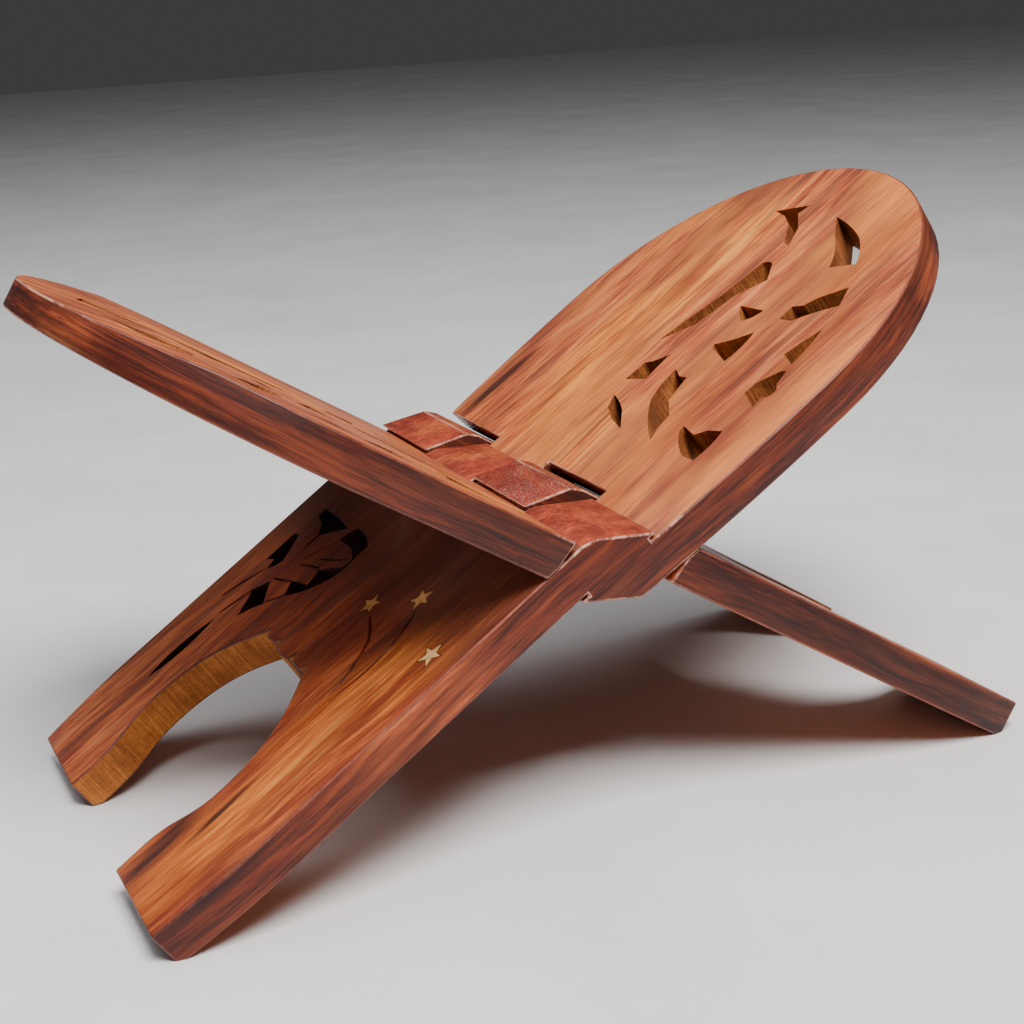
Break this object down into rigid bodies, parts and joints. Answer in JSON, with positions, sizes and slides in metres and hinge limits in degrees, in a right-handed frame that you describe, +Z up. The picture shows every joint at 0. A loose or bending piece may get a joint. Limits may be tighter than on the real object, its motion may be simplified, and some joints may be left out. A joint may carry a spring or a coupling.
{
  "type": "quran stand",
  "caption": "Folding carved wooden book stand: interlocked plank leaves cross like an X, with rounded pierced book rests, arched legs and small inlaid brass stars.",
  "frame": {"origin": "centre of the open stand's footprint, on the table", "axes": "+X towards the right-hand book rest seen from the front, +Y along the hinge and away from the viewer, +Z up"},
  "size_m": [0.273, 0.1524, 0.1622],
  "materials": {
    "rosewood_right": "satin varnish",
    "rosewood_left": "satin varnish",
    "brass": "filed flush and varnished"
  },
  "bodies": {
    "right_leaf": {"right_leaf": "rosewood_right", "right_leaf_star_1": "brass", "right_leaf_star_2": "brass", "right_leaf_star_3": "brass"},
    "left_leaf": {"left_leaf": "rosewood_left", "left_leaf_star_1": "brass", "left_leaf_star_2": "brass", "left_leaf_star_3": "brass"}
  },
  "joints": [
    {"name": "fold", "type": "hinge", "parent": "right_leaf", "child": "left_leaf", "pos_m": [-0.00148, 0, 0.07881], "axis": [0, 1, 0], "range_deg": [0, 115]}
  ]
}
